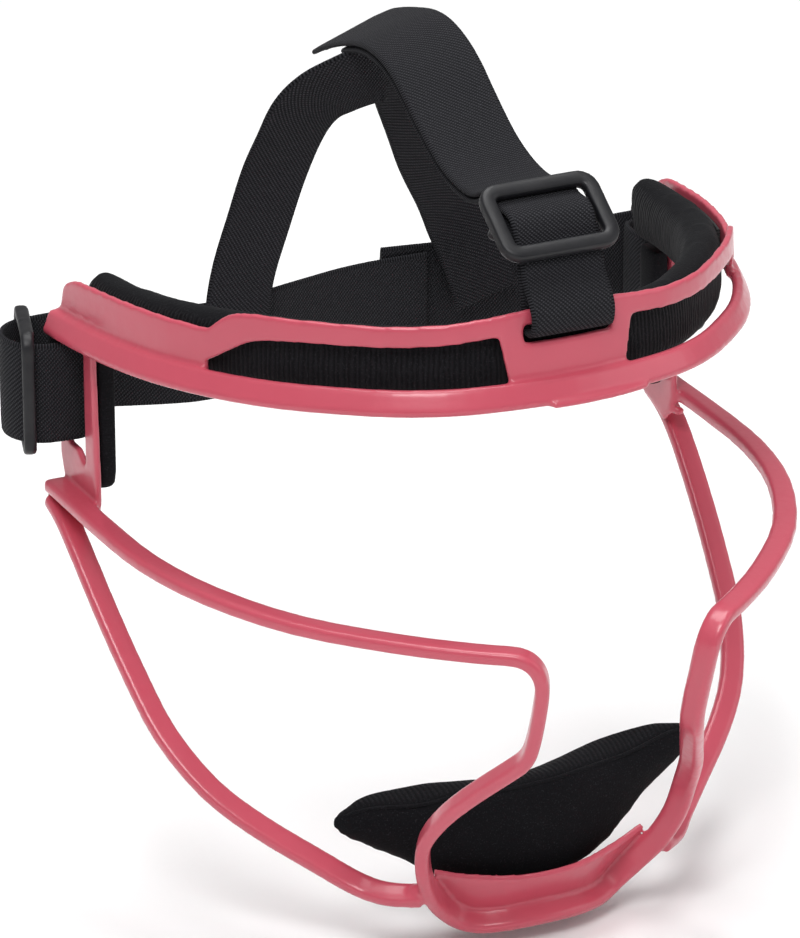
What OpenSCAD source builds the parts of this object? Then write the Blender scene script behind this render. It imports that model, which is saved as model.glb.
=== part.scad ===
// Fielder's face mask: a welded steel cage with pads and an elastic harness.
// +Z is up, the face opening looks along -Y and the wearer's left is +X.
// The origin is the middle of the head opening, level with the brow rail.

/* [Steel bars] */
// Width of the bent flat bars
bar_w = 7; // [6:0.5:9]
// Thickness of the bent flat bars
bar_h = 4; // [3:0.5:5]
// Width of the brow rail
brow_w = 7.5; // [7:0.5:9]
// Thickness of the brow rail
brow_h = 3.4; // [3:0.2:4]
// Thickness of the pressed plates
plate_t = 2; // [1.5:0.1:2.4]
// Height of the crown strap slot
slot_h = 4.8; // [4.6:0.1:5.2]

/* [Brow] */
// Backward slope of the brow rail in degrees
brow_slope = 5; // [3:0.5:7]
// Height of the brow rail's top face at the front
brow_top = 4.8; // [3:0.2:6]

/* [Pads] */
// Thickness of the forehead pad
pad_t = 11; // [8:0.5:13]
// Height of the forehead pad at the front
pad_h = 20.5; // [18:0.5:22]
// Thickness of the temple pads
temple_pad_t = 5.5; // [5:0.5:8]

/* [Harness] */
// Width of the crown webbing
crown_w = 25; // [24:0.5:26]
// Width of the rear webbing
rear_w = 30; // [28:0.5:32]
// Width of the webbing of the two crown legs
leg_w = 20.5; // [19:0.5:22]
// Thickness of the webbing
web_t = 1.7; // [1.4:0.1:1.8]
// Radius of the crown strap at its buckle
crown_r = 22; // [21:0.5:24]
// Radius of the rear straps at their buckles
rear_r = 11; // [11:0.5:12]

/* [Hidden] */

pink = [0.84, 0.36, 0.43];
black = [0.10, 0.10, 0.11];
foam = [0.75, 0.74, 0.70];
gap = 0.3;
layer = web_t + gap;

// Half of the brow plate's plan curve, from the middle to the wearer's left
brow_half = [[0, -94], [20, -92], [34, -88], [46, -81], [57, -71], [67, -60],
             [75, -48], [81, -36], [87, -20], [91, -2], [93, 16], [94, 36]];

// Centre line of the continuous face rail, from its middle to the left temple
face_half = [[0, -82.5, -161], [10, -81.5, -161.4], [19, -78, -162], [25, -76, -159.5],
             [31, -78, -153.5], [36, -82, -146], [39.5, -85.5, -137], [40.5, -89, -127],
             [38, -97, -116], [33, -106, -106], [28, -115, -97], [25.5, -119.5, -92],
             [24.5, -122, -86], [24.5, -126, -73.5], [25, -127.8, -66], [27, -127.5, -61],
             [31, -125, -58.3], [40, -118, -58.3], [56, -103.5, -58.3], [75, -81, -58.3],
             [88.5, -54, -58], [95, -27, -58], [96.4, 0, -58], [96.4, 20, -58],
             [96.4, 36, -58]];

// Centre line of a jaw rail, from the temple to the chin
jaw_half = [[96.4, 36, -62.6], [96.4, 28, -65.5], [96.2, 19, -71.5], [95, 4, -85],
            [93, -11, -99], [90, -25, -112], [83, -39, -124], [73, -50, -133],
            [60, -60.5, -142], [51, -68, -147.8], [45, -75, -149], [37.4, -81, -148.4]];

// Lower and upper edges of the chin plate, from its middle to the left
chin_low = [[0, -79.5, -159], [10, -78.7, -159.3], [18, -75.6, -159.8], [24, -73, -157],
            [30, -74.6, -150.5]];
chin_high = [[0, -86, -147], [11, -85, -146.6], [20, -82.5, -145.6], [27, -80.3, -144.5],
             [33, -79, -142.5]];

// Side outline of a temple plate: [y, z]
temple_outline = [[16, -8], [15, -30], [14, -50], [14, -57], [16, -63], [20, -67],
                  [27, -64], [36, -61], [38.5, -54.5], [40, -50], [40, -11]];
temple_slot = [[22.5, -10.8], [33.5, -11.8], [33.5, -44.5], [27, -44.5], [22, -48]];

// Crown strap in the middle plane past its buckle: [y, z], then the roll of the strap,
// which lifts its left edge
crown_back = [[-58, 47, 3], [-49, 47.5, 5], [-40, 50, 8], [-32, 54, 10], [-23, 59.5, 13],
              [-15, 64.8, 15], [-7, 68.6, 15], [2, 70.6, 15], [12, 70.2, 15], [24, 67, 17],
              [35, 63, 19], [44, 58.6, 20]];
crown_c = [-67.5, 27.5];

// Rear straps across the back, from the right arc to the left arc: [x, y]
rear_back = [[-88, 49.3], [-76, 46.3], [-64, 43.8], [-52, 42], [-40, 41.4], [-28, 43],
             [-14, 46.5], [0, 49.5], [14, 50.5], [28, 50], [42, 49], [58, 48.5],
             [76, 48.8], [88, 49.3]];
rear_cx = 98.5;
rear_cy = 38.6;
rear_z = -26.5;

// ---------- curves and sweeps ----------

function unit(v) = v / norm(v);

function spline_at(a, b, c, d, t) =
    0.5 * (2 * b + (c - a) * t + (2 * a - 5 * b + 4 * c - d) * t * t
           + (3 * b - a - 3 * c + d) * t * t * t);

// Smooth curve through points p with n steps between neighbours
function spline(p, n) = [
    for (i = [0:len(p) - 2], j = [0:n - 1])
        spline_at(p[max(i - 1, 0)], p[i], p[i + 1], p[min(i + 2, len(p) - 1)], j / n),
    p[len(p) - 1]];

function reversed(p) = [for (i = [len(p) - 1:-1:0]) p[i]];

function flip_x(v) = [for (i = [0:len(v) - 1]) i == 0 ? -v[i] : v[i]];

// A symmetric curve from its left half, whose first point is in the middle
function whole(half) = concat([for (i = [len(half) - 1:-1:1]) flip_x(half[i])], half);

function tangent(p, i) = unit(p[min(i + 1, len(p) - 1)] - p[max(i - 1, 0)]);

function square_to(side, t) = unit(side - (side * t) * t);

// Side vectors carried along curve p without twist, from a starting side
function carried(p, side, i = 0, done = []) =
    i == len(p) ? done
    : let (s = square_to(side, tangent(p, i))) carried(p, s, i + 1, concat(done, [s]));

// Rounded rectangle, counter-clockwise
function rounded(w, h, r, n = 3) = [
    for (c = [0:3], k = [0:n - 1])
        let (a = 90 * c + 90 * k / (n - 1))
        [((c == 0 || c == 3) ? 1 : -1) * (w / 2 - r) + r * cos(a),
         (c < 2 ? 1 : -1) * (h / 2 - r) + r * sin(a)]];

// Solid skin over rings of points, each ring counter-clockwise seen from the end
module skin(rings) {
    n = len(rings[0]);
    m = len(rings);
    points = [for (ring = rings, q = ring) q];
    walls = [for (i = [0:m - 2], k = [0:n - 1])
        let (a = i * n + k, b = i * n + (k + 1) % n)
        each [[a, a + n, b + n], [a, b + n, b]]];
    first = [for (k = [0:n - 1]) k];
    last = [for (k = [n - 1:-1:0]) (m - 1) * n + k];
    polyhedron(points, concat(walls, [first, last]), convexity = 10);
}

// Section swept along p; sides holds one width direction for each point
module sweep(p, sides, section) {
    skin([for (i = [0:len(p) - 1])
        let (t = tangent(p, i), s = square_to(sides[i], t), u = cross(t, s))
        [for (q = section) p[i] + q[0] * s + q[1] * u]]);
}

module bar(p, side, w = bar_w, h = bar_h) {
    sweep(p, carried(p, side), rounded(w, h, 1.1));
}

// Sheet between a lower and an upper edge, which have the same number of points
module sheet(low, high, t = plate_t) {
    mid = (low + high) / 2;
    skin([for (i = [0:len(low) - 1])
        let (n = unit(cross(tangent(mid, i), high[i] - low[i])) * t / 2)
        [low[i] + n, low[i] - n, high[i] - n, high[i] + n]]);
}

module both_sides() {
    children();
    mirror([1, 0, 0]) children();
}

// ---------- brow ----------

// Height of the brow rail's top face at depth y
function brow_z(y) = brow_top - tan(brow_slope) * (y + 94);

// A point that stands h above the brow rail at plan point q
function on_brow(q, h) =
    [q[0], q[1] + h * sin(brow_slope), brow_z(q[1]) + h * cos(brow_slope)];

// Plan curve of the brow plate moved outward by d
function brow_curve(d, n = 3, half = brow_half) =
    let (p = spline(whole(half), n))
    [for (i = [0:len(p) - 1])
        let (t = tangent(p, i)) [p[i][0] + d * t[1], p[i][1] - d * t[0]]];

module brow_rail() {
    plan = brow_curve(brow_w / 2 - 1);
    path = [for (q = plan) on_brow(q, -brow_h / 2)];
    color(pink) bar(path, [0, -1, 0], brow_w, brow_h);
}

// One half of the brow plate: rows of [x, y, lower height, upper height]
module brow_wall(rows) {
    s = spline(rows, 3);
    sheet([for (r = s) on_brow(r, r[2])], [for (r = s) on_brow(r, r[3])]);
}

slot_rise = 14.6;

module brow_plate() {
    over_window = [[17, -92.6, 14.6, 20.6], [27, -90.3, 14, 19.8], [34, -88, 13.4, 19.3],
                   [46, -81, 13, 19], [57, -71, 13, 19.2], [67, -60, 12.8, 19.4],
                   [73, -51.2, 11.6, 19.4], [77, -44.2, 8, 18], [80, -38.2, 4.5, 13.5],
                   [81, -36, 4, 12.8]];
    temple = [[80.7, -36.7, 0, 13], [84, -28.6, 0, 13.2], [87, -20, 0, 13.4],
              [91, -2, 0, 13.6], [93.1, 18, 0, 13.3], [93.5, 25, 0, 12.4],
              [93.8, 30, 0, 9.5], [93.9, 32.5, 0, 4], [94, 36, 0, 1.5]];
    slot_mid = on_brow([0, -94], slot_rise);
    color(pink) difference() {
        union() {
            both_sides() {
                brow_wall(over_window);
                brow_wall(temple);
            }
            brow_post();
        }
        translate(slot_mid) rotate([-brow_slope, 0, 0])
            cube([2 * 13.2, 12, slot_h], center = true);
    }
}

// Centre post between the two windows, wider at the top
module brow_post() {
    low = [[0, -94], [9, -93.7], [17.2, -92.6]];
    high = [[0, -94, 21.6], [11, -93.5, 21.4], [21, -91.7, 20.3]];
    sheet(spline(whole([for (q = low) on_brow(q, 0)]), 3),
          spline(whole([for (q = high) on_brow(q, q[2])]), 3));
}

// Short stiffening bar welded under the brow rail, a little left of its middle
module brow_tab() {
    plan = [[-8, -98.2], [0, -98.5], [8, -98.2], [15, -97.2], [21.5, -95.6]];
    path = [for (q = plan) on_brow(q, -brow_h - 1.1)];
    color(pink) sweep(spline(path, 3), carried(spline(path, 3), [0, -1, 0]),
                      rounded(5, 2, 0.8));
}

// ---------- cage ----------

module temple_plate(x) {
    color(pink) translate([x - plate_t / 2, 0, 0]) rotate([90, 0, 90])
        linear_extrude(plate_t) difference() {
            polygon(temple_outline);
            polygon(temple_slot);
        }
}

temple_x = 91.9;

module temple_plate_right() {
    temple_plate(-temple_x);
}

module temple_plate_left() {
    temple_plate(temple_x);
}

module face_rail() {
    path = spline(whole(face_half), 3);
    color(pink) bar(path, [-1, 0, 0]);
}

module jaw_rail() {
    bar(spline(jaw_half, 3), [1, 0, 0]);
}

module jaw_rail_left() {
    color(pink) jaw_rail();
}

module jaw_rail_right() {
    color(pink) mirror([1, 0, 0]) jaw_rail();
}

module chin_plate() {
    color(pink) sheet(spline(whole(chin_low), 3), spline(whole(chin_high), 3));
}

// Weld beads at the joints, trimmed to the bars that they join
module weld_beads() {
    beads = [[38.6, -80.4, -147.2, 2.8], [39.6, -78.6, -151, 2.2], [93.6, 15, -62.5, 1.8]];
    color(pink) difference() {
        both_sides() for (b = beads)
            translate([b[0], b[1], b[2]]) scale([1, 1, 0.8]) sphere(r = b[3], $fn = 12);
        face_rail();
        jaw_rail_left();
        jaw_rail_right();
        temple_plate_left();
        temple_plate_right();
    }
}

// ---------- pads ----------

// How far the forehead pad has tapered off at depth y, from 0 to 1 beside the temples
function taper(y) = min(1, max(0, (y + 50) / 60));

// Pad along the inside of the brow plate; cut is taken off all round its section
module brow_band(cut, last) {
    base = brow_curve(0, 3);
    plan = [for (i = [0:len(base) - 1]) if (base[i][1] < last)
        let (a = tangent(base, i)) [base[i][0], base[i][1], a[1], -a[0]]];
    skin([for (q = plan)
        let (t = pad_t - 0.5 * taper(q[1]), h = pad_h - 2.2 * taper(q[1]), out = [q[2], q[3]],
             mid = [q[0], q[1]] - (pad_inset + t / 2) * out, r = 0.38 * (t - 2 * cut))
        [for (c = rounded(t - 2 * cut, h - 2 * cut, r))
            on_brow(mid + c[0] * out, pad_mid - (pad_h - h) / 2 - c[1])]]);
}

pad_inset = 2.8;
pad_mid = 6.5;
foam_wall = 1.2;

module forehead_pad() {
    color(black) difference() {
        brow_band(0, 30);
        brow_band(foam_wall, 22);
    }
}

module forehead_foam() {
    color(foam) brow_band(foam_wall + 0.1, 21);
}

// Upright tongue-shaped pad on the inside of a temple plate
module temple_block(t, grow) {
    top = -12;
    bottom = -55;
    front = 16.5;
    rear = 25.6;
    r = (rear - front) / 2;
    translate([-t / 2, 0, 0]) rotate([90, 0, 90]) linear_extrude(t) {
        translate([front - grow, bottom + r])
            square([rear - front + 2 * grow, top - bottom - r + grow]);
        translate([front + r, bottom + r]) circle(r = r + grow, $fn = 48);
    }
}

temple_pad_x = temple_x - plate_t / 2 - 0.5 - temple_pad_t / 2;

module temple_pad() {
    difference() {
        temple_block(temple_pad_t, 0);
        temple_block(temple_pad_t - 2 * foam_wall, -foam_wall);
    }
}

module temple_pad_right() {
    color(black) translate([-temple_pad_x, 0, 0]) temple_pad();
}

module temple_pad_left() {
    color(black) translate([temple_pad_x, 0, 0]) temple_pad();
}

module temple_foam(x) {
    color(foam) translate([x, 0, 0])
        temple_block(temple_pad_t - 2 * foam_wall - 0.2, -foam_wall - 0.1);
}

module temple_foam_right() {
    temple_foam(-temple_pad_x);
}

module temple_foam_left() {
    temple_foam(temple_pad_x);
}

// Chin pad: rows of [x, y, z, height, thickness] from its middle to the left tip; the
// whole pad sits a little askew, its right tip lower
chin_rows = [[0, -70.5, -139, 33, 15], [12, -69.5, -138.5, 32.5, 15],
             [24, -66.5, -136.5, 29.5, 14], [35, -64, -133, 22, 13],
             [45, -63.5, -129.5, 16, 10], [53, -64.5, -127.3, 10, 6],
             [58, -66, -126.6, 4, 2.6]];

module chin_shape(shrink) {
    rows = spline(whole(chin_rows), 3);
    used = [for (r = rows) if (r[4] > 4 * shrink) r];
    path = [for (r = used) [r[0], r[1], r[2] + (r[0] < 0 ? 0.055 : 0.02) * r[0]]];
    skin([for (i = [0:len(used) - 1])
        let (t = tangent(path, i), out = unit([t[1], -t[0], 0]), w = used[i][4] - 2 * shrink)
        [for (c = rounded(w, used[i][3] - 2 * shrink, 0.42 * w))
            path[i] + c[0] * out - [0, 0.1 * c[1], c[1]]]]);
}

module chin_pad() {
    color(black) difference() {
        chin_shape(0);
        chin_shape(foam_wall);
    }
}

module chin_foam() {
    color(foam) chin_shape(foam_wall + 0.1);
}

// ---------- hook-and-loop strips between the pads and the steel ----------

hook_t = 0.8;

module brow_hook_strips() {
    all = brow_curve(-plate_t / 2 - 0.2 - hook_t / 2, 3);
    color(black) both_sides() {
        plan = [for (q = all) if (q[0] > 83.5 && q[1] < 20) q];
        path = [for (q = plan) on_brow(q, 6)];
        outward = [for (i = [0:len(path) - 1])
            let (a = tangent(path, i)) [a[1], -a[0], 0]];
        sweep(path, outward, rounded(hook_t, 10, 0.3));
    }
}

module chin_hook_strip() {
    off = plate_t / 2 + 0.7 + hook_t / 2;
    half_low = [[0, -81.4 + off, -155.5], [9, -80.7 + off, -155.6], [16, -78.2 + off, -155.6]];
    half_high = [[0, -85.7 + off, -148.5], [9, -84.9 + off, -148.5], [16, -83 + off, -148.2]];
    color(black) sheet(spline(whole(half_low), 3), spline(whole(half_high), 3), hook_t);
}

// ---------- harness ----------

// Flat webbing of width w along p
module web(p, sides, w) {
    sweep(p, sides, rounded(w, web_t, 0.5));
}

// Crown strap point at slope angle a on its arc, at radius r
function crown_arc(a, r) = [0, crown_c[0] - r * sin(a), crown_c[1] + r * cos(a)];

function rolled(a) = [cos(a), 0, sin(a)];

// The strap runs from the crown joint forward over its buckle, through the brow slot,
// back up through the buckle and over the top again, as its free end
module crown_strap() {
    under = crown_r - layer / 2;
    over = crown_r + layer / 2;
    slot = on_brow([0, -94], slot_rise);
    back = [for (q = crown_back) [0, q[0], q[1]]];
    roll = [for (q = crown_back) rolled(q[2])];
    up_in = [slot + [0, 3.3, 6.5], slot + [0, 2.9, 1], slot + [0, 0.2, -0.4],
             slot + [0, -2.4, 1], slot + [0, -2.5, 6.5]];
    low_back = [for (i = [9:-1:0]) back[i] - [0, 0, layer / 2]];
    low_roll = [for (i = [9:-1:0]) roll[i]];
    high_back = [for (q = back) q + [0, 0, layer / 2]];
    arc_in = [for (a = [-4:8:76]) crown_arc(a, under)];
    arc_out = [for (a = [76:-8:-4]) crown_arc(a, over)];
    flat = [for (i = [0:len(arc_in) + len(up_in) + len(arc_out) - 1]) [1, 0, 0]];
    path = spline(concat(low_back, arc_in, up_in, arc_out, high_back), 2);
    sides = spline(concat(low_roll, flat, roll), 2);
    color(black) web(path, sides, crown_w);
}

// Legs from the crown joint down to the rear straps
module crown_leg_right() {
    path = [[1, 21.5, 56], [-6, 21.5, 55], [-12, 22.5, 53], [-17.5, 25.5, 49.5],
            [-21.5, 28.5, 44], [-24.5, 32, 35], [-27.5, 35.5, 24], [-31, 38, 10],
            [-35, 39.3, -4], [-37, 39.5, -15], [-37.5, 39.5, -28]];
    sides = [[0.3, 0.2, -0.9], [0.3, 0.2, -0.9], [0.4, 0.2, -0.85], [0.6, 0.15, -0.75],
             [0.75, 0.1, -0.65], [0.86, 0.1, -0.5], [0.9, 0, -0.4], [0.92, 0, -0.35],
             [0.97, 0, -0.25], [1, 0, 0], [1, 0, 0]];
    color(black) web(spline(path, 2), spline(sides, 2), leg_w);
}

module crown_leg_left() {
    path = [[0, 24, 56], [5, 25.5, 55], [10.5, 29, 46], [16, 33, 35], [22, 38, 23],
            [31, 44.5, 8], [37, 47, -4], [42, 46.6, -16], [46, 46.4, -29]];
    sides = [[0.3, 0.2, 0.9], [0.5, 0.15, 0.85], [0.8, 0.1, 0.6], [0.85, 0.1, 0.5],
             [0.85, 0.1, 0.5], [0.85, 0.1, 0.5], [0.9, 0, 0.4], [0.95, 0, 0.3],
             [0.95, 0, 0.3]];
    color(black) web(spline(path, 2), spline(sides, 2), leg_w);
}

// Rear strap point at angle a on the left arc, at radius r
function rear_arc(a, r) = [rear_cx + r * cos(a), rear_cy + r * sin(a)];

// A rear strap starts with its sewn end, wraps the rear bar of its temple slot, comes out
// through the slot and bends round under its buckle
function rear_loop() =
    concat([[96, 30.8], [95.4, 34], [95.2, 38], [94.2, 41.4], [91.9, 42.6], [89.6, 41.4],
            [88.6, 38], [88.5, 33], [89.2, 29], [91.6, 27]],
           [for (a = [-84:12:96]) rear_arc(a, rear_r)]);

// How far the rear straps sink between the temples and the back
function sink(x) = 2 * (1 - min(1, max(0, (abs(x) - 50) / 35)));

module rear_web(plan, rise) {
    path = spline([for (q = plan) [q[0], q[1], rear_z - sink(q[0]) + rise(q[0])]], 2);
    color(black) sweep(path, [for (q = path) [0, 0, 1]], rounded(rear_w, web_t, 0.5));
}

// The right strap runs along the inside of the overlap at the back
module rear_strap_right() {
    loop = [for (q = rear_loop()) flip_x(q)];
    across = [for (q = rear_back) if (q[0] < 30) q];
    rear_web(concat(loop, across), function (x) 0);
}

// The left strap lies behind the right one, a little higher, and ends near the middle
module rear_strap_left() {
    n = len(rear_back);
    across = [for (i = [n - 1:-1:0]) if (rear_back[i][0] > 5)
        let (t = tangent(rear_back, i))
        rear_back[i] + min(1, (90 - rear_back[i][0]) / 30) * layer * [-t[1], t[0]]];
    rear_web(concat(rear_loop(), across), function (x) 3.5 * (1 - min(1, x / 70)));
}

// ---------- buckles ----------

// Outline of a rounded rectangle for an extrusion
module round_plate(w, l, r) {
    polygon(rounded(w, l, r, 5));
}

// Three-bar buckle for webbing of width w: the strap bends along Y under both end bars,
// whose underside is at height low, and over the middle bar, whose top is at height mid
module buckle(w, wide, long, low, mid) {
    deep = min(low - 1.6, mid - 2.6) - 1;
    difference() {
        union() {
            translate([0, 0, low - 1.6]) linear_extrude(4.4) round_plate(wide, long, 4);
            if (mid - 2.6 < low - 1.6)
                translate([-wide / 2, -4, mid - 2.6]) cube([wide, 8, low - mid + 2.6]);
        }
        translate([0, 0, deep]) linear_extrude(low - deep + 4)
            round_plate(w + 1.6, long - 6.4, 1.5);
        translate([-w / 2 - 0.8, -long, deep]) cube([w + 1.6, 2 * long, low - deep]);
    }
    translate([-w / 2 - 1.2, 0, mid - 1.2]) rotate([0, 90, 0])
        cylinder(h = w + 2.4, r = 1.2, $fn = 24);
}

crown_buckle_at = 35;
rear_buckle_at = 18;

module crown_buckle() {
    color(black) translate(crown_arc(crown_buckle_at, crown_r))
        rotate([crown_buckle_at, 0, 0]) buckle(crown_w, crown_w + 10.5, 24, 0.7, -2.2);
}

module rear_buckle_left() {
    q = rear_arc(rear_buckle_at, rear_r);
    color(black) translate([q[0], q[1], rear_z]) rotate([0, 0, rear_buckle_at])
        rotate([90, 0, 90]) rotate([0, 0, 90]) buckle(rear_w, rear_w + 7, 30, -7.3, -4.9);
}

module rear_buckle_right() {
    mirror([1, 0, 0]) rear_buckle_left();
}

brow_rail();
brow_plate();
brow_tab();
temple_plate_right();
temple_plate_left();
face_rail();
jaw_rail_right();
jaw_rail_left();
chin_plate();
weld_beads();
forehead_pad();
forehead_foam();
temple_pad_right();
temple_pad_left();
temple_foam_right();
temple_foam_left();
chin_pad();
chin_foam();
brow_hook_strips();
chin_hook_strip();
crown_strap();
crown_leg_right();
crown_leg_left();
rear_strap_right();
rear_strap_left();
crown_buckle();
rear_buckle_right();
rear_buckle_left();
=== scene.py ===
"""Fielder's face mask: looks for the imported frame.

Lengths are in millimetres until they reach a mesh."""
import math

import bmesh
import bpy
import numpy as np
from mathutils import Matrix, Vector


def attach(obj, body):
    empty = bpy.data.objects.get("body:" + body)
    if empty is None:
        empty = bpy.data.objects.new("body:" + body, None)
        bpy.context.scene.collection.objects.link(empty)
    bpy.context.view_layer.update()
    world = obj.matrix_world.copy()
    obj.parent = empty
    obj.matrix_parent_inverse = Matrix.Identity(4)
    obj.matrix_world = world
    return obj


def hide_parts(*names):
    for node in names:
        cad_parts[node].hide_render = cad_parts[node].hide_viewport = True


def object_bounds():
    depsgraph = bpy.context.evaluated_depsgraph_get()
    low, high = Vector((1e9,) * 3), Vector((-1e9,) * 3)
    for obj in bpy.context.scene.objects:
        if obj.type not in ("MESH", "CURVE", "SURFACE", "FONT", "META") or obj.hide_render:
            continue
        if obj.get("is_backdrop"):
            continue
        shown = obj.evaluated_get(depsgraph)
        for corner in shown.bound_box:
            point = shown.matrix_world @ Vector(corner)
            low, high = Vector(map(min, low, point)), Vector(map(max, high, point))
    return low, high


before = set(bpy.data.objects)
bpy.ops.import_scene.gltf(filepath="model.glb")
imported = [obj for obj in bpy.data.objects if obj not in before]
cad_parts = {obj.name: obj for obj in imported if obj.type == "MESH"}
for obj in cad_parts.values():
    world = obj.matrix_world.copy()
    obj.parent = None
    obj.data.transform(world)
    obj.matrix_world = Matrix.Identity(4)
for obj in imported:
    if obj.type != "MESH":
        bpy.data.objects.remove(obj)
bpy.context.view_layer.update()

MM = 0.001
PHOTO_LONG_SIDE = 938

STEEL = [
    "brow_rail", "brow_plate", "brow_tab", "temple_plate_right", "temple_plate_left",
    "face_rail", "jaw_rail_right", "jaw_rail_left", "chin_plate", "weld_beads",
]

# ---------- sizes shared with the CAD ----------

BROW_SLOPE = math.radians(5)
BROW_TOP = 4.8
CROWN_W = 25
REAR_W = 30
LEG_W = 20.5
WEB_T = 1.7
LAYER = WEB_T + 0.3
CROWN_R = 22
CROWN_C = (-67.5, 27.5)
CROWN_BUCKLE_AT = 35
REAR_R = 11
REAR_C = (98.5, 38.6)
REAR_Z = -26.5
REAR_BUCKLE_AT = 18
SLOT_RISE = 14.6
UNDER = -WEB_T / 2  # a strap's inner face
PLATE_INNER_FACE = 90.7  # how far out a temple pad may reach
# width, outer width, length, underside of the end bars and top of the middle bar of each slide
CROWN_SLIDE = (CROWN_W, CROWN_W + 10.5, 24, 0.7, -2.2)
REAR_SLIDE = (REAR_W, REAR_W + 7, 30, -7.3, -4.9)


# ---------- curves ----------

def spline(points, n):
    """Smooth curve through the points with n steps between neighbours."""
    p = np.asarray(points, float)
    out = []
    for i in range(len(p) - 1):
        a, b, c, d = p[max(i - 1, 0)], p[i], p[i + 1], p[min(i + 2, len(p) - 1)]
        for j in range(n):
            t = j / n
            out.append(0.5 * (2 * b + (c - a) * t + (2 * a - 5 * b + 4 * c - d) * t * t
                              + (3 * b - a - 3 * c + d) * t ** 3))
    out.append(p[-1])
    return np.array(out)


def unit(v):
    v = np.asarray(v, float)
    return v / np.linalg.norm(v, axis=-1, keepdims=True)


def tangents(p):
    q = np.concatenate([[p[0]], p, [p[-1]]])
    return unit(q[2:] - q[:-2])


def square_to(sides, along):
    sides = np.asarray(sides, float)
    return unit(sides - np.sum(sides * along, axis=-1, keepdims=True) * along)


def arc_lengths(p):
    steps = np.linalg.norm(np.diff(p, axis=0), axis=1)
    return np.concatenate([[0], np.cumsum(steps)])


def evenly(p, sides, step):
    """The curve and its side vectors, resampled every step millimetres."""
    s = arc_lengths(p)
    at = np.linspace(0, s[-1], int(s[-1] / step) + 2)
    pick = lambda v: np.stack([np.interp(at, s, v[:, k]) for k in range(v.shape[1])], axis=1)
    return pick(p), pick(np.asarray(sides, float))


# ---------- mesh helpers ----------

def link(obj):
    bpy.context.scene.collection.objects.link(obj)
    return obj


def mesh_object(name, verts, faces, smooth=True):
    """A new object from points in millimetres."""
    mesh = bpy.data.meshes.new(name)
    mesh.from_pydata([tuple(MM * c for c in v) for v in verts], [], faces)
    bm = bmesh.new()
    bm.from_mesh(mesh)
    bmesh.ops.recalc_face_normals(bm, faces=bm.faces)
    bm.to_mesh(mesh)
    bm.free()
    mesh.polygons.foreach_set("use_smooth", [smooth] * len(mesh.polygons))
    return link(bpy.data.objects.new(name, mesh))


def apply_modifiers(obj):
    """Leaves the object with its modifiers' result as its mesh."""
    bpy.context.view_layer.update()
    graph = bpy.context.evaluated_depsgraph_get()
    mesh = bpy.data.meshes.new_from_object(obj.evaluated_get(graph))
    obj.modifiers.clear()
    old = obj.data
    obj.data = mesh
    bpy.data.meshes.remove(old)
    obj.data.polygons.foreach_set("use_smooth", [True] * len(obj.data.polygons))
    return obj


def coordinates(mesh):
    co = np.zeros(len(mesh.vertices) * 3)
    mesh.vertices.foreach_get("co", co)
    return co.reshape(-1, 3) / MM


def normals(mesh):
    out = np.zeros(len(mesh.vertices) * 3)
    mesh.vertices.foreach_get("normal", out)
    return out.reshape(-1, 3)


def set_coordinates(mesh, co):
    mesh.vertices.foreach_set("co", (co * MM).ravel())
    mesh.update()


def voxel_remesh(obj, size):
    remesh = obj.modifiers.new("voxels", "REMESH")
    remesh.mode = "VOXEL"
    remesh.voxel_size = size * MM
    remesh.use_smooth_shade = True
    return apply_modifiers(obj)


def smoothed(obj, rounds, factor=0.5):
    smooth = obj.modifiers.new("smooth", "SMOOTH")
    smooth.factor = factor
    smooth.iterations = rounds
    return apply_modifiers(obj)


def subdivided(obj, levels=1):
    sub = obj.modifiers.new("subdivision", "SUBSURF")
    sub.levels = sub.render_levels = levels
    return apply_modifiers(obj)


def joined_copy(name, nodes):
    """One new object with the meshes of several CAD nodes."""
    bm = bmesh.new()
    for node in nodes:
        bm.from_mesh(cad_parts[node].data)
    mesh = bpy.data.meshes.new(name)
    bm.to_mesh(mesh)
    bm.free()
    return link(bpy.data.objects.new(name, mesh))


def outer_shell(name, node):
    """A copy of a hollow CAD node's outer wall, without the wall of its hollow."""
    bm = bmesh.new()
    bm.from_mesh(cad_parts[node].data)
    bmesh.ops.remove_doubles(bm, verts=bm.verts, dist=1e-6)
    left = set(bm.verts)
    islands = []
    while left:
        todo = [next(iter(left))]
        island = set(todo)
        while todo:
            for edge in todo.pop().link_edges:
                for v in edge.verts:
                    if v not in island:
                        island.add(v)
                        todo.append(v)
        left -= island
        islands.append(island)
    spans = []
    for island in islands:
        co = np.array([v.co for v in island])
        spans.append(np.prod(np.ptp(co, axis=0)))
    keep = islands[int(np.argmax(spans))]
    bmesh.ops.delete(bm, geom=[v for v in bm.verts if v not in keep], context="VERTS")
    mesh = bpy.data.meshes.new(name)
    bm.to_mesh(mesh)
    bm.free()
    return link(bpy.data.objects.new(name, mesh))


def lay_attribute(obj, values):
    """Stores across and along in millimetres for the weave, and a third value from 0 to 1:
    closeness to a strap's edge, or how much of its ribs a pad shows."""
    layer = obj.data.attributes.new("lay", "FLOAT_VECTOR", "POINT")
    layer.data.foreach_set("vector", np.asarray(values, float).ravel())


# ---------- materials ----------

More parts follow.
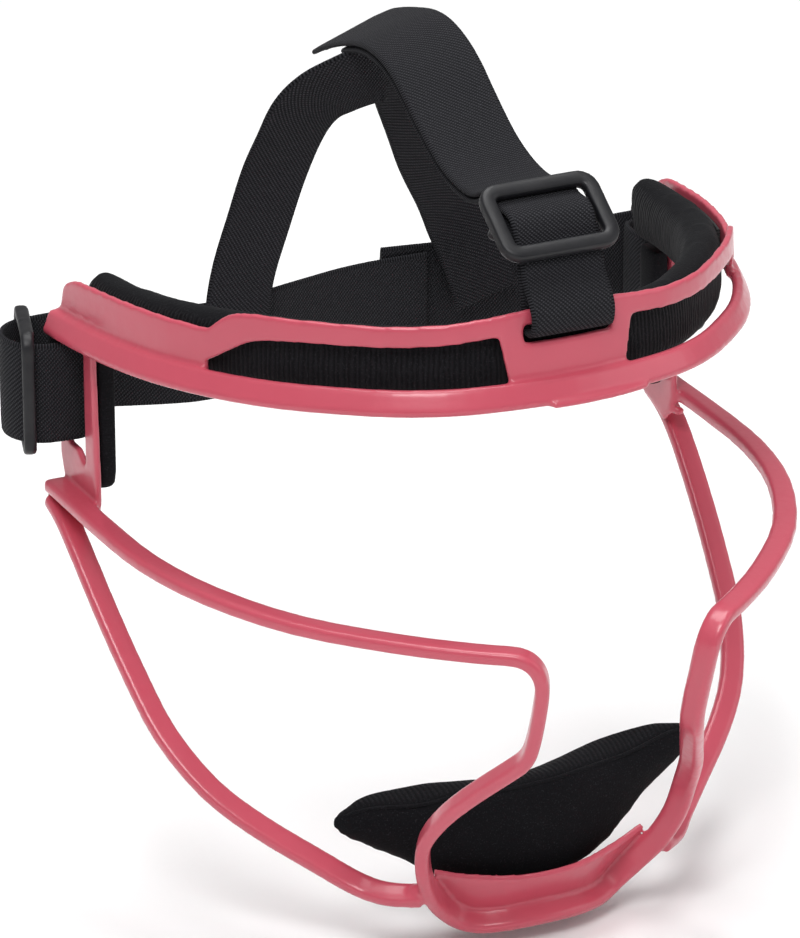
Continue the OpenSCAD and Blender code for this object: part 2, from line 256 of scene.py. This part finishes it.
class Surface:
    """A material with short calls for its nodes."""

    def __init__(self, name, color, roughness, **sockets):
        self.material = bpy.data.materials.new(name)
        self.material.use_nodes = True
        self.tree = self.material.node_tree
        self.shader = self.tree.nodes["Principled BSDF"]
        self.shader.inputs["Base Color"].default_value = (*color, 1)
        self.shader.inputs["Roughness"].default_value = roughness
        for key, value in sockets.items():
            self.shader.inputs[key.replace("_", " ")].default_value = value
        self.place = self.add("ShaderNodeTexCoord").outputs["Object"]

    def add(self, kind, **settings):
        node = self.tree.nodes.new(kind)
        for key, value in settings.items():
            setattr(node, key, value)
        return node

    def feed(self, socket, value):
        if isinstance(value, bpy.types.NodeSocket):
            self.tree.links.new(value, socket)
        else:
            socket.default_value = value

    def math(self, operation, a, b=0.0, c=0.0, clamp=False):
        node = self.add("ShaderNodeMath", operation=operation, use_clamp=clamp)
        for socket, value in zip(node.inputs, (a, b, c)):
            self.feed(socket, value)
        return node.outputs[0]

    def wave(self, value, pitch):
        """A sine of the value, which is in millimetres, from 0 to 1."""
        turned = self.math("SINE", self.math("MULTIPLY", value, 2 * math.pi / pitch))
        return self.math("MULTIPLY_ADD", turned, 0.5, 0.5)

    def noise(self, size, detail=3, where=None):
        """Noise whose lumps are about size millimetres, from 0 to 1."""
        node = self.add("ShaderNodeTexNoise")
        self.feed(node.inputs["Vector"], where or self.place)
        node.inputs["Scale"].default_value = 1 / (size * MM)
        node.inputs["Detail"].default_value = detail
        return node.outputs["Fac"]

    def parts(self, vector):
        node = self.add("ShaderNodeSeparateXYZ")
        self.feed(node.inputs[0], vector)
        return node.outputs

    def mix(self, factor, first, second):
        node = self.add("ShaderNodeMix", data_type="RGBA")
        self.feed(node.inputs[0], factor)
        node.inputs[6].default_value = (*first, 1)
        node.inputs[7].default_value = (*second, 1)
        return node.outputs[2]

    def ranged(self, value, low, high, to_low, to_high):
        node = self.add("ShaderNodeMapRange")
        self.feed(node.inputs[0], value)
        for k, v in enumerate((low, high, to_low, to_high)):
            node.inputs[k + 1].default_value = v
        return node.outputs[0]

    def color(self, socket):
        self.feed(self.shader.inputs["Base Color"], socket)

    def roughness(self, socket):
        self.feed(self.shader.inputs["Roughness"], socket)

    def bump(self, height, depth, strength=1.0):
        """height runs from 0 to 1 over depth millimetres."""
        node = self.add("ShaderNodeBump")
        node.inputs["Strength"].default_value = strength
        node.inputs["Distance"].default_value = depth * MM
        self.feed(node.inputs["Height"], height)
        before = self.shader.inputs["Normal"]
        if before.is_linked:
            self.tree.links.new(before.links[0].from_socket, node.inputs["Normal"])
        self.feed(before, node.outputs["Normal"])


def powder_coat():
    """Glossy pink coat with a faint orange peel and lighter worn spots."""
    s = Surface("pink_powder_coat", (0.53, 0.073, 0.112), 0.36,
                Coat_Weight=0.4, Coat_Roughness=0.15, Specular_IOR_Level=0.4)
    tone = s.ranged(s.noise(30, 3), 0.3, 0.7, 0, 1)
    s.color(s.mix(tone, (0.515, 0.070, 0.108), (0.545, 0.076, 0.116)))
    s.roughness(s.ranged(s.noise(2.5, 5), 0.3, 0.7, 0.28, 0.40))
    s.bump(s.noise(1.3, 2), 0.05, 0.5)
    return s.material


def webbing_weave():
    """Black elastic in a dotted twill with plain edges, laid along the strap by its lay attribute."""
    s = Surface("black_webbing", (0.02, 0.02, 0.023), 0.7,
                Sheen_Weight=0.02, Sheen_Roughness=0.4, Specular_IOR_Level=0.12)
    lay = s.add("ShaderNodeAttribute", attribute_name="lay").outputs["Vector"]
    across, along, edge = s.parts(lay)
    wobble = s.math("MULTIPLY", s.noise(9, 2), 0.5)
    diagonal = s.math("ADD", s.math("SUBTRACT", along, across), wobble)
    twill = s.wave(diagonal, 1.3)
    picks = s.wave(s.math("ADD", along, s.math("MULTIPLY", across, 0.6)), 0.78)
    grain = s.math("MULTIPLY_ADD", s.noise(0.5, 3), 0.7, 0.15)
    threads = s.math("ADD", s.math("MULTIPLY", twill, s.math("MULTIPLY_ADD", picks, 0.75, 0.15)),
                     s.math("MULTIPLY", grain, 0.3))
    border = s.ranged(edge, 0.90, 0.93, 0, 1)
    braid = s.wave(along, 0.8)
    plain = s.math("MULTIPLY", braid, 0.6)
    keep = s.math("SUBTRACT", 1.0, border)
    height = s.math("ADD", s.math("MULTIPLY", threads, keep), s.math("MULTIPLY", plain, border))
    # Painted highlights: scattered specks of painted glint, plus colour that is lighter on the raised
    # threads and darker in the grooves between them.
    glint_specks = s.ranged(s.noise(0.6, 4), 0.62, 0.75, 0, 0.35)
    light = s.math("ADD", s.math("MULTIPLY", height, 0.85), glint_specks, clamp=True)
    s.color(s.mix(light, (0.001, 0.001, 0.002), (0.052, 0.052, 0.059)))
    s.roughness(s.ranged(height, 0, 1, 0.85, 0.6))
    s.bump(height, 0.34, 1.0)
    return s.material


def knit_fabric(name, ribs):
    """Brushed black knit over foam. A ribbed one has ribs where its lay attribute allows them."""
    s = Surface(name, (0.02, 0.02, 0.022), 0.85, Sheen_Weight=0.03, Sheen_Roughness=0.5,
                Specular_IOR_Level=0.1)
    fuzz = s.noise(0.7, 5)
    cloud = s.ranged(s.noise(14, 3), 0.35, 0.65, 0, 1)
    speck = s.ranged(s.noise(0.45, 2), 0.58, 0.72, 0, 0.7)
    if ribs:
        lay = s.add("ShaderNodeAttribute", attribute_name="lay").outputs["Vector"]
        along = s.parts(lay)[1]
        bent = s.math("ADD", along, s.math("MULTIPLY", s.noise(5, 2), 0.7))
        rib = s.math("MULTIPLY", s.wave(bent, 1.5), s.parts(lay)[2])
        height = s.math("ADD", s.math("MULTIPLY", rib, 0.7), s.math("MULTIPLY", fuzz, 0.5))
        depth = 0.3
    else:
        rib = s.wave(s.math("MULTIPLY", s.parts(s.place)[2], 1000), 0.9)
        height = s.math("ADD", s.math("MULTIPLY", fuzz, 0.8), s.math("MULTIPLY", rib, 0.15))
        depth = 0.16
    light = s.math("ADD", s.math("MULTIPLY", height, 0.45), speck, clamp=True)
    shade = s.math("MULTIPLY", light, s.math("MULTIPLY_ADD", cloud, 0.3, 0.75))
    s.color(s.mix(shade, (0.002, 0.002, 0.003), (0.021, 0.021, 0.024)))
    s.bump(height, depth, 0.9)
    return s.material


def buckle_plastic():
    s = Surface("black_plastic", (0.010, 0.010, 0.012), 0.42, Specular_IOR_Level=0.35)
    s.roughness(s.ranged(s.noise(3, 5), 0.3, 0.7, 0.36, 0.5))
    tone = s.ranged(s.noise(7, 3), 0.35, 0.65, 0, 1)
    s.color(s.mix(tone, (0.006, 0.006, 0.008), (0.011, 0.011, 0.013)))
    s.bump(s.noise(0.8, 3), 0.03, 0.5)
    return s.material


def thread():
    s = Surface("black_thread", (0.03, 0.03, 0.034), 0.6, Sheen_Weight=0.2)
    twist = s.wave(s.math("MULTIPLY", s.parts(s.place)[0], 1000), 0.35)
    s.color(s.mix(twist, (0.006, 0.006, 0.007), (0.022, 0.022, 0.024)))
    s.bump(twist, 0.08, 0.7)
    return s.material


def hook_tape():
    s = Surface("hook_tape", (0.02, 0.02, 0.02), 0.75, Specular_IOR_Level=0.3)
    dots = s.noise(0.5, 1)
    s.color(s.mix(dots, (0.010, 0.010, 0.010), (0.05, 0.05, 0.052)))
    s.bump(dots, 0.4, 0.9)
    return s.material


def studio_floor():
    s = Surface("pale_floor", (0.93, 0.93, 0.93), 0.85, Specular_IOR_Level=0.2)
    s.color(s.mix(s.noise(120, 2), (0.92, 0.92, 0.92), (0.945, 0.945, 0.945)))
    return s.material


PINK = powder_coat()
WEAVE = webbing_weave()
RIBBED = knit_fabric("ribbed_knit", True)
KNIT = knit_fabric("brushed_knit", False)
PLASTIC = buckle_plastic()
THREAD = thread()
HOOKS = hook_tape()


def finish_piece(obj, material, slot, body, *nodes):
    """Gives a piece its material and its body, and hides the CAD nodes that it stands for."""
    obj.data.materials.clear()
    obj.data.materials.append(material)
    if body:
        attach(obj, body)
    if nodes:
        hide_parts(*nodes)
    return obj


# ---------- the welded cage ----------

def cage():
    """All the steel as one powder-coated weldment: rounded edges, and fillets at its joints."""
    obj = voxel_remesh(joined_copy("steel_cage", STEEL), 0.55)
    smoothed(obj, 14)
    return finish_piece(obj, PINK, "cage_paint", "frame", *STEEL)


# ---------- pads ----------

BROW_HALF = [
    [0, -94], [20, -92], [34, -88], [46, -81], [57, -71], [67, -60],
    [75, -48], [81, -36], [87, -20], [91, -2], [93, 16], [94, 36],
]


def brow_plan(n):
    half = np.array(BROW_HALF, float)
    whole = np.concatenate([half[:0:-1] * [-1, 1], half])
    return spline(whole, n)


def brow_z(y):
    return BROW_TOP - math.tan(BROW_SLOPE) * (y + 94)


def on_brow(q, h):
    return np.array([q[0], q[1] + h * math.sin(BROW_SLOPE),
                     brow_z(q[1]) + h * math.cos(BROW_SLOPE)])


def nearest_along(co, plan):
    """For each point, how far along the plan curve it stands."""
    s = arc_lengths(plan)
    gaps = np.linalg.norm(co[:, None, :2] - plan[None, :, :], axis=2)
    return s[np.argmin(gaps, axis=1)]


def inflated(obj, cap, pressure=4.0):
    """Cloth swelling of a closed pad, with no point moving more than cap millimetres."""
    start = coordinates(obj.data)
    cloth = obj.modifiers.new("cloth", "CLOTH")
    settings = cloth.settings
    settings.quality = 5
    settings.mass = 0.3
    settings.use_pressure = True
    settings.uniform_pressure_force = pressure
    settings.effector_weights.gravity = 0
    settings.tension_stiffness = settings.compression_stiffness = 8
    cloth.point_cache.frame_start, cloth.point_cache.frame_end = 1, 20
    for step in range(1, 21):
        bpy.context.scene.frame_set(step)
    graph = bpy.context.evaluated_depsgraph_get()
    swollen = coordinates(obj.evaluated_get(graph).to_mesh())
    obj.modifiers.clear()
    bpy.context.scene.frame_set(1)
    move = swollen - start
    far = np.linalg.norm(move, axis=1, keepdims=True)
    set_coordinates(obj.data, start + move * np.minimum(1, cap / np.maximum(far, 1e-6)))
    return obj


def pad(name, node, voxel, cap, material, clamp=None, ribs=False):
    """A padded cover: the CAD pad's outer wall, swollen and rounded. It hides its foam."""
    obj = voxel_remesh(outer_shell(name, node), voxel)
    smoothed(obj, 3)
    inflated(obj, cap)
    subdivided(obj)
    co = coordinates(obj.data)
    if clamp:
        co = clamp(co)
        set_coordinates(obj.data, co)
    if ribs:
        along = nearest_along(co, brow_plan(24))
        upright = np.clip((0.8 - np.abs(normals(obj.data)[:, 2])) / 0.3, 0, 1)
        lay_attribute(obj, np.stack([co[:, 2], along, upright], axis=1))
    finish_piece(obj, material, "pad_fabric", "frame", node, node.replace("pad", "foam"))
    return obj


def tube(name, path, r, sides=8):
    """A round cord along a path, with closed ends."""
    t = tangents(path)
    side = square_to(np.tile([0.2, 0.1, 1.0], (len(path), 1)), t)
    up = np.cross(t, side)
    verts = [path[i] + r * min(1, 0.3 + 0.25 * min(i, len(path) - 1 - i))
             * (math.cos(2 * math.pi * k / sides) * side[i] + math.sin(2 * math.pi * k / sides) * up[i])
             for i in range(len(path)) for k in range(sides)]
    faces = [(i * sides + k, i * sides + (k + 1) % sides,
              (i + 1) * sides + (k + 1) % sides, (i + 1) * sides + k)
             for i in range(len(path) - 1) for k in range(sides)]
    last = (len(path) - 1) * sides
    faces += [tuple(range(sides))[::-1], tuple(last + k for k in range(sides))]
    return mesh_object(name, verts, faces)


def chin_cover():
    """The chin pad: plain knit in front, ribbed behind the seam along its upper front edge."""
    obj = pad("chin_cover", "chin_pad", 2.6, 1.4, RIBBED)
    co = coordinates(obj.data)
    edge = []
    for x in np.linspace(co[:, 0].min() + 1.5, co[:, 0].max() - 1.5, 40):
        near = co[np.abs(co[:, 0] - x) < 1.6]
        edge.append(near[np.argmax(near[:, 2] - 0.8 * near[:, 1])])
    edge = np.array(edge)
    for _ in range(4):
        edge[1:-1] = (edge[:-2] + 2 * edge[1:-1] + edge[2:]) / 4
    seam_y = np.interp(co[:, 0], edge[:, 0], edge[:, 1])
    behind = np.clip((co[:, 1] - seam_y - 0.5) / 1.5, 0, 1)
    lay_attribute(obj, np.stack([co[:, 2], co[:, 0], behind], axis=1))
    seam = tube("chin_seam", spline(edge, 3), 0.55)
    finish_piece(seam, KNIT, "pad_fabric", "frame")


def temple_clamp(sign):
    """Keeps a temple pad flat against its plate."""
    def clamp(co):
        co = co.copy()
        co[:, 0] = sign * np.minimum(sign * co[:, 0], PLATE_INNER_FACE)
        return co
    return clamp


# ---------- webbing ----------

class Web:
    """A flat strap with its centre line, so that stitches and hems can be placed on it."""

    def __init__(self, name, path, sides, width, thick=WEB_T, body="frame", nodes=(), ripple=0.12):
        self.name, self.width, self.thick, self.body = name, width, thick, body
        self.p, self.s = evenly(path, sides, 1.4)
        self.t = tangents(self.p)
        self.s = square_to(self.s, self.t)
        self.u = np.cross(self.t, self.s)
        self.along = arc_lengths(self.p)
        ring, lay = self.section()
        verts, lays = [], []
        for i, at in enumerate(self.along):
            wave = ripple * math.sin(at / 7.0) * math.cos(at / 17.0)
            for (a, b), edge in zip(ring, lay):
                lift = b + wave * (a / width) * 2
                verts.append(self.p[i] + a * self.s[i] + lift * self.u[i])
                lays.append((a if b > 0 else -a, at, edge))
        m, n = len(ring), len(self.p)
        faces = [(i * m + k, i * m + (k + 1) % m, (i + 1) * m + (k + 1) % m, (i + 1) * m + k)
                 for i in range(n - 1) for k in range(m)]
        faces += [tuple(range(m))[::-1], tuple((n - 1) * m + k for k in range(m))]
        self.obj = mesh_object(name, verts, faces)
        lay_attribute(self.obj, lays)
        finish_piece(self.obj, WEAVE, "webbing", body, *nodes)

    def section(self):
        """Points round the strap's section: two faces of ten columns and rounded edges."""
        half, r = self.width / 2, self.thick / 2
        flat = np.linspace(half - r, -(half - r), 11)
        thin = [0.86 if abs(a) > half - 2.6 else 1.0 for a in flat]
        top = [(a, r * k) for a, k in zip(flat, thin)]
        left = [(-(half - r) - r * math.sin(q), 0.86 * r * math.cos(q)) for q in (0.8, 1.57, 2.34)]
        low = [(a, -r * k) for a, k in zip(flat[::-1], thin)]
        right = [((half - r) + r * math.sin(q), -0.86 * r * math.cos(q)) for q in (0.8, 1.57, 2.34)]
        ring = top + left + low + right
        return ring, [min(1, abs(a) / half) for a, b in ring]

    def spot(self, at, across, above=None):
        """A point on the strap's outer face at a distance along and across it."""
        above = self.thick / 2 if above is None else above
        pick = lambda v: np.array([np.interp(at, self.along, v[:, k]) for k in range(3)])
        return pick(self.p) + across * pick(self.s) + above * pick(self.u)


def stitches(name, runs, body="frame"):
    """Threads along each run of points; each stitch is a short raised loop."""
    verts, faces = [], []
    for points in runs:
        p = np.asarray(points, float)
        s = arc_lengths(p)
        count = max(1, int(s[-1] / 2.4))
        for k in range(count):
            ends = [(k + 0.10) / count * s[-1], (k + 0.86) / count * s[-1]]
            at = np.linspace(ends[0], ends[1], 5)
            line = np.stack([np.interp(at, s, p[:, j]) for j in range(3)], axis=1)
            t = unit(line[-1] - line[0])
            side = unit(np.cross(t, [0.31, 0.22, 0.93]))
            up = np.cross(side, t)
            base = len(verts)
            for i, centre in enumerate(line):
                r = 0.34 * (0.55 if i in (0, 4) else 1)
                for a in range(6):
                    q = math.pi * a / 3
                    verts.append(centre + r * math.cos(q) * side + r * math.sin(q) * up)
            for i in range(4):
                for a in range(6):
                    b = (a + 1) % 6
                    faces.append((base + 6 * i + a, base + 6 * i + b,
                                  base + 6 * i + 6 + b, base + 6 * i + 6 + a))
            faces.append(tuple(base + a for a in range(6))[::-1])
            faces.append(tuple(base + 24 + a for a in range(6)))
    obj = mesh_object(name, verts, faces)
    return finish_piece(obj, THREAD, "webbing", body)


def bar_tack(web, at, inset=2.2, above=None, rows=2, gap=2.6):
    """Rows of stitching across a strap."""
    half = web.width / 2 - inset
    return [[web.spot(at + k * gap, a, above) for a in np.linspace(-half, half, 9)]
            for k in range(rows)]


def box_stitch(web, start, end, inset=2.4, above=None):
    """A stitched box with a cross in it."""
    half = web.width / 2 - inset
    corners = [(start, -half), (start, half), (end, half), (end, -half), (start, -half)]
    runs = []
    for (a0, c0), (a1, c1) in zip(corners, corners[1:]):
        runs.append([web.spot(a0 + (a1 - a0) * f, c0 + (c1 - c0) * f, above)
                     for f in np.linspace(0, 1, 7)])
    for c0, c1 in ((-half, half), (half, -half)):
        runs.append([web.spot(start + (end - start) * f, c0 + (c1 - c0) * f, above)
                     for f in np.linspace(0, 1, 9)])
    return runs


CROWN_BACK = [
    [-58, 47, 3], [-49, 47.5, 5], [-40, 50, 8], [-32, 54, 10], [-23, 59.5, 13],
    [-15, 64.8, 15], [-7, 68.6, 15], [2, 70.6, 15], [12, 70.2, 15], [24, 67, 17],
    [35, 63, 19], [44, 58.6, 20],
]


def crown_arc(angle, radius):
    a = math.radians(angle)
    return [0, CROWN_C[0] - radius * math.sin(a), CROWN_C[1] + radius * math.cos(a)]


def hump(angle):
    """How far the upper layer of the crown strap stands up over its slide's middle bar."""
    off = (angle - CROWN_BUCKLE_AT) / 18
    return 2.2 * math.cos(off * math.pi / 2) ** 2 if abs(off) < 1 else 0


def crown_strap():
    """From the crown joint over the buckle, through the brow slot and back over the top."""
    rolled = lambda deg: [math.cos(math.radians(deg)), 0, math.sin(math.radians(deg))]
    slot = on_brow([0, -94], SLOT_RISE)
    turn = [slot + d for d in np.array([[0, 3.3, 6.5], [0, 2.9, 1], [0, 0.2, -0.4],
                                        [0, -2.4, 1], [0, -2.5, 6.5]])]
    back = [[0, y, z] for y, z, roll in CROWN_BACK]
    roll = [rolled(q[2]) for q in CROWN_BACK]
    low = [np.array(q) - [0, 0, LAYER / 2] for q in back[9::-1]]
    high = [np.array(q) + [0, 0, LAYER / 2] for q in back]
    inner = [crown_arc(a, CROWN_R - LAYER / 2) for a in range(-4, 77, 8)]
    outer = [crown_arc(a, CROWN_R + LAYER / 2 + hump(a)) for a in range(76, -5, -8)]
    path = [*low, *inner, *turn, *outer, *high]
    flat = [[1, 0, 0]] * (len(inner) + len(turn) + len(outer))
    sides = [*roll[9::-1], *flat, *roll]
    return Web("crown_strap_webbing", spline(path, 6), spline(sides, 6), CROWN_W,
               nodes=["crown_strap"])


def leg_right():
    path = [[1, 21.5, 56], [-6, 21.5, 55], [-12, 22.5, 53], [-17.5, 25.5, 49.5],
            [-21.5, 28.5, 44], [-24.5, 32, 35], [-27.5, 35.5, 24], [-31, 38, 10],
            [-35, 39.3, -4], [-37, 39.5, -15], [-37.5, 39.5, -28]]
    sides = [[0.3, 0.2, -0.9], [0.3, 0.2, -0.9], [0.4, 0.2, -0.85], [0.6, 0.15, -0.75],
             [0.75, 0.1, -0.65], [0.86, 0.1, -0.5], [0.9, 0, -0.4], [0.92, 0, -0.35],
             [0.97, 0, -0.25], [1, 0, 0], [1, 0, 0]]
    return Web("crown_leg_right_webbing", spline(path, 6), spline(sides, 6), LEG_W,
               nodes=["crown_leg_right"])


def leg_left():
    path = [[0, 24, 56], [5, 25.5, 55], [10.5, 29, 46], [16, 33, 35], [22, 38, 23],
            [31, 44.5, 8], [37, 47, -4], [42, 46.6, -16], [46, 46.4, -29]]
    sides = [[0.3, 0.2, 0.9], [0.5, 0.15, 0.85], [0.8, 0.1, 0.6], [0.85, 0.1, 0.5],
             [0.85, 0.1, 0.5], [0.85, 0.1, 0.5], [0.9, 0, 0.4], [0.95, 0, 0.3],
             [0.95, 0, 0.3]]
    return Web("crown_leg_left_webbing", spline(path, 6), spline(sides, 6), LEG_W,
               nodes=["crown_leg_left"])


REAR_BACK = [
    [-88, 49.3], [-76, 46.3], [-64, 43.8], [-52, 42], [-40, 41.4], [-28, 43],
    [-14, 46.5], [0, 49.5], [14, 50.5], [28, 50], [42, 49], [58, 48.5],
    [76, 48.8], [88, 49.3],
]
SLOT_WRAP = [
    [96, 30.8], [95.4, 34], [95.2, 38], [94.2, 41.4], [91.9, 42.6], [89.6, 41.4],
    [88.6, 38], [88.5, 33], [89.2, 29], [91.6, 27],
]


def rear_arc(angle, radius):
    a = math.radians(angle)
    return [REAR_C[0] + radius * math.cos(a), REAR_C[1] + radius * math.sin(a)]


def sink(x):
    """How far the rear straps sink between the temples and the back."""
    return 2 * (1 - min(1, max(0, (abs(x) - 50) / 35)))


def rear_web(name, plan, rise, node):
    flat = spline(plan, 6)
    path = np.array([[x, y, REAR_Z - sink(x) + rise(x)] for x, y in flat])
    sides = np.tile([0.0, 0, 1], (len(path), 1))
    return Web(name, path, sides, REAR_W, nodes=[node])


def rear_loop():
    return [*SLOT_WRAP, *(rear_arc(a, REAR_R) for a in range(-84, 97, 12))]


def rear_right():
    plan = [[-x, y] for x, y in rear_loop()] + [q for q in REAR_BACK if q[0] < 30]
    return rear_web("rear_strap_right_webbing", plan, lambda x: 0, "rear_strap_right")


def rear_left():
    back = np.array(REAR_BACK, float)
    slope = tangents(back)
    across = [back[i] + min(1, (90 - back[i][0]) / 30) * LAYER * np.array([-slope[i][1], slope[i][0]])
              for i in range(len(back) - 1, -1, -1) if back[i][0] > 5]
    rise = lambda x: 3.5 * (1 - min(1, x / 70))
    return rear_web("rear_strap_left_webbing", [*rear_loop(), *across], rise, "rear_strap_left")


# ---------- buckles ----------

def ring_tube(outline, wide, tall, lift):
    """A closed tube of oval section round a flat outline."""
    p = np.array([[x, y, lift(x, y)] for x, y in outline], float)
    n = len(p)
    verts, faces = [], []
    for i in range(n):
        t = unit(p[(i + 1) % n] - p[i - 1])
        out = unit(np.cross(t, [0, 0, 1]))
        for k in range(12):
            q = 2 * math.pi * k / 12
            c, s = math.cos(q), math.sin(q)
            shape = lambda v: math.copysign(abs(v) ** 0.5, v)
            verts.append(p[i] + wide / 2 * shape(c) * out + tall / 2 * shape(s) * np.array([0, 0, 1]))
    for i in range(n):
        for k in range(12):
            a, b = i * 12 + k, i * 12 + (k + 1) % 12
            c, d = ((i + 1) % n) * 12 + k, ((i + 1) % n) * 12 + (k + 1) % 12
            faces.append((a, b, d, c))
    return verts, faces


def round_outline(w, length, r, n=7):
    points = []
    for corner in range(4):
        cx = (w / 2 - r) * (1 if corner in (0, 3) else -1)
        cy = (length / 2 - r) * (1 if corner < 2 else -1)
        for k in range(n):
            a = math.radians(90 * corner + 90 * k / (n - 1))
            points.append([cx + r * math.cos(a), cy + r * math.sin(a)])
    return np.array(points)


def rod(start, end, r, sides=14):
    start, end = np.array(start, float), np.array(end, float)
    t = unit(end - start)
    a = unit(np.cross(t, [0.1, 0.2, 1]))
    b = np.cross(t, a)
    verts = [c + r * (math.cos(2 * math.pi * k / sides) * a + math.sin(2 * math.pi * k / sides) * b)
             for c in (start, end) for k in range(sides)]
    faces = [(k, (k + 1) % sides, sides + (k + 1) % sides, sides + k) for k in range(sides)]
    faces += [tuple(range(sides))[::-1], tuple(range(sides, 2 * sides))]
    return verts, faces


def buckle(name, node, w, wide, length, low, mid, place):
    """A moulded three-bar slide with rounded rails. low is the underside of its end bars and
    mid the top of its middle bar; place puts it on its strap."""
    side = (wide - w - 1.6) / 2
    bar_t = 2.8
    top = low + bar_t
    shells = [
        ring_tube(round_outline(wide - side, length - 3.6, 3.4), side, 3.8, lambda x, y: top - 1.9),
    ]
    for x in (-1, 1):
        rail = x * (wide - side) / 2
        shells.append(rod([rail, -length / 2 + 5, low + 0.3], [rail, length / 2 - 5, low + 0.3], 1.6))
        shells.append(rod([rail, 0, mid - 1.2], [rail, 0, top - 1.0], 1.6))
    shells.append(rod([-wide / 2 + side / 2, 0, mid - 1.2], [wide / 2 - side / 2, 0, mid - 1.2], 1.2))
    verts, faces = [], []
    for v, f in shells:
        base = len(verts)
        verts += list(v)
        faces += [tuple(base + k for k in face) for face in f]
    obj = mesh_object(name, verts, faces)
    voxel_remesh(obj, 0.5)
    smoothed(obj, 5)
    obj.data.transform(place)
    return finish_piece(obj, PLASTIC, "buckle_plastic", node, node)


def crown_place():
    at = Vector(crown_arc(CROWN_BUCKLE_AT, CROWN_R)) * MM
    return Matrix.Translation(at) @ Matrix.Rotation(math.radians(CROWN_BUCKLE_AT), 4, "X")


def rear_place(sign):
    x, y = rear_arc(REAR_BUCKLE_AT, REAR_R)
    turn = (Matrix.Translation(Vector((x, y, REAR_Z)) * MM)
            @ Matrix.Rotation(math.radians(REAR_BUCKLE_AT), 4, "Z")
            @ Matrix.Rotation(math.pi / 2, 4, "Z") @ Matrix.Rotation(math.pi / 2, 4, "X")
            @ Matrix.Rotation(math.pi / 2, 4, "Z"))
    return turn if sign > 0 else Matrix.Scale(-1, 4, (1, 0, 0)) @ turn


# ---------- build ----------

cage()
pad("forehead_cover", "forehead_pad", 2.2, 1.3, RIBBED, ribs=True)
chin_cover()
pad("temple_cover_right", "temple_pad_right", 1.5, 1.0, KNIT, temple_clamp(-1))
pad("temple_cover_left", "temple_pad_left", 1.5, 1.0, KNIT, temple_clamp(1))

crown = crown_strap()
right_leg = leg_right()
left_leg = leg_left()
right_rear = rear_right()
left_rear = rear_left()

buckle("crown_slide", "crown_buckle", *CROWN_SLIDE, crown_place())
buckle("rear_slide_left", "rear_buckle_left", *REAR_SLIDE, rear_place(1))
buckle("rear_slide_right", "rear_buckle_right", *REAR_SLIDE, rear_place(-1))

stitches("crown_stitching",
         bar_tack(crown, crown.along[-1] - 9, rows=3) + box_stitch(crown, 4, 20, above=UNDER))
stitches("leg_stitching",
         bar_tack(right_leg, right_leg.along[-1] - 3, rows=1)
         + bar_tack(left_leg, left_leg.along[-1] - 3, above=UNDER, rows=1))
stitches("rear_stitching",
         bar_tack(left_rear, left_rear.along[-1] - 5)
         + bar_tack(right_rear, right_rear.along[-1] - 5, above=UNDER))

for node in ("brow_hook_strips", "chin_hook_strip"):
    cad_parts[node].data.materials.clear()
    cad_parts[node].data.materials.append(HOOKS)


# ---------- studio ----------

def studio():
    low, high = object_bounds()
    drop = low.z - 0.004
    floor = mesh_object("floor", [(x, y, drop / MM) for x, y in
                                  ((-3000, -3000), (3000, -3000), (3000, 3000), (-3000, 3000))],
                        [(0, 1, 2, 3)])
    floor.data.materials.append(studio_floor())
    floor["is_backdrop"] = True
    world = bpy.data.worlds.new("studio")
    bpy.context.scene.world = world
    world.use_nodes = True
    world.node_tree.nodes["Background"].inputs["Color"].default_value = (1, 1, 1, 1)
    world.node_tree.nodes["Background"].inputs["Strength"].default_value = 0.34
    bpy.context.scene.view_settings.view_transform = "Standard"
    for name, place, size, power in (
            ("key", (-0.7, -0.9, 1.5), 0.8, 20), ("fill", (1.3, -0.9, 0.7), 1.2, 5),
            ("top", (0.1, 0.3, 1.5), 1.0, 19)):
        light = bpy.data.lights.new(name, "AREA")
        light.size = size
        light.energy = power
        lamp = link(bpy.data.objects.new(name, light))
        lamp.location = place
        lamp.rotation_mode = "QUATERNION"
        lamp.rotation_quaternion = (Vector((0, 0, -0.04)) - lamp.location).to_track_quat("-Z", "Y")


def camera():
    """The photograph's viewpoint: 26 degrees to the wearer's right, 23 degrees up."""
    focal_px = 6000
    data = bpy.data.cameras.new("camera")
    data.sensor_width = 36
    data.lens = data.sensor_width * focal_px / PHOTO_LONG_SIDE
    data.clip_start, data.clip_end = 0.05, 20
    cam = link(bpy.data.objects.new("camera", data))
    cam.location = (-0.6938, -1.4126, 0.6167)
    cam.rotation_mode = "QUATERNION"
    cam.rotation_quaternion = Vector((0.4029, 0.8261, -0.3939)).to_track_quat("-Z", "Y")
    bpy.context.scene.camera = cam


studio()
camera()
